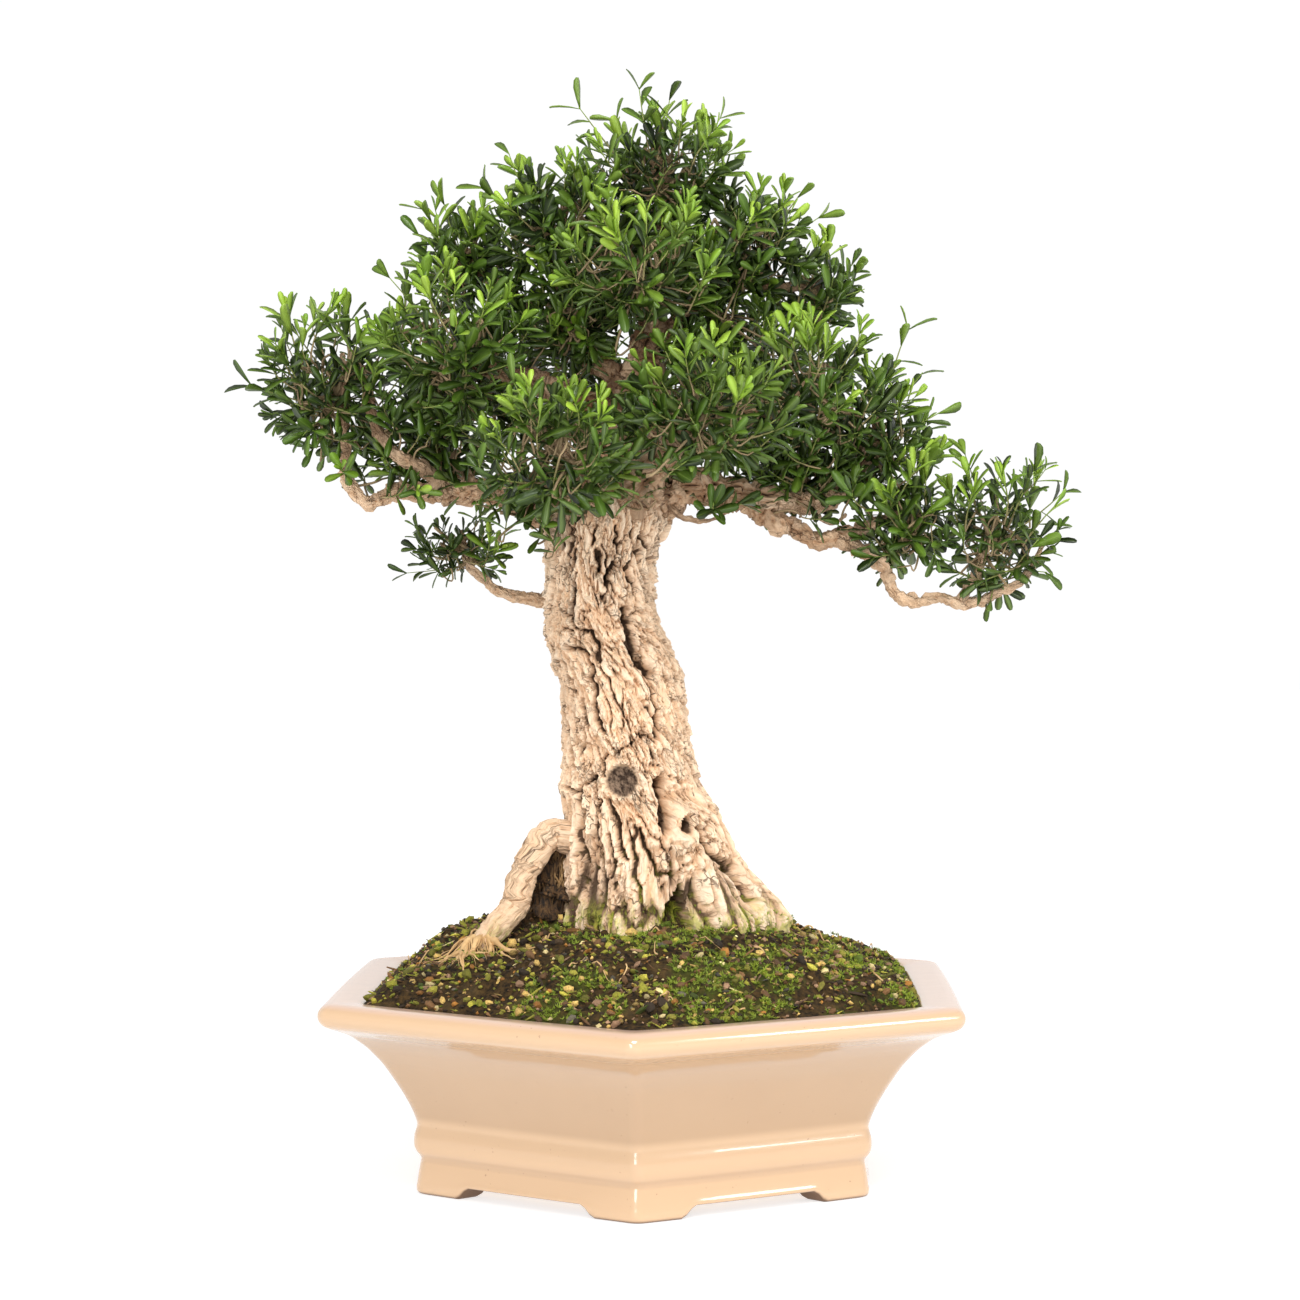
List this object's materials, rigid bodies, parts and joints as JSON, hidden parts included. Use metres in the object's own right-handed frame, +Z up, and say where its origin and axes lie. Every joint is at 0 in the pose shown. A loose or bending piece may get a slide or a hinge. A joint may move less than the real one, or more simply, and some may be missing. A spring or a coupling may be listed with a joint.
{
  "type": "chinese boxwood bonsai tree in a hexagonal pot",
  "caption": "Boxwood bonsai with a stout corky trunk, spreading boughs and leafy sprays, rooted in mounded soil in a glazed hexagonal footed pot.",
  "frame": {"origin": "on the floor under the pot's axis, which is the middle of the part's box to within its tolerance", "axes": "+Z up, -Y towards the viewer through a corner of the pot, +X through a side of the pot to the right, under the low cascading bough"},
  "size_m": [0.4811, 0.4126, 0.6458],
  "materials": {
    "glaze": "gloss",
    "soil": "matte",
    "bark": "matte",
    "leaf": "satin",
    "screen": "matte"
  },
  "bodies": {
    "root": {"pot": "glaze", "drain_screen_1": "screen", "drain_screen_2": "screen", "drain_screen_3": "screen", "soil": "soil", "tree": "bark", "foliage_apex": "leaf", "foliage_apex_left": "leaf", "foliage_apex_right": "leaf", "foliage_crown_front": "leaf", "foliage_crown_back": "leaf", "foliage_left_shoulder": "leaf", "foliage_right_shoulder": "leaf", "foliage_left_outer": "leaf", "foliage_left_front": "leaf", "foliage_left_inner": "leaf", "foliage_middle": "leaf", "foliage_front_left": "leaf", "foliage_front_right": "leaf", "foliage_right_middle": "leaf", "foliage_right_inner": "leaf", "foliage_right_outer": "leaf", "foliage_cascade_inner": "leaf", "foliage_cascade_outer": "leaf", "foliage_left_low": "leaf", "foliage_back_left": "leaf", "foliage_back_right": "leaf", "foliage_back": "leaf"}
  },
  "joints": []
}
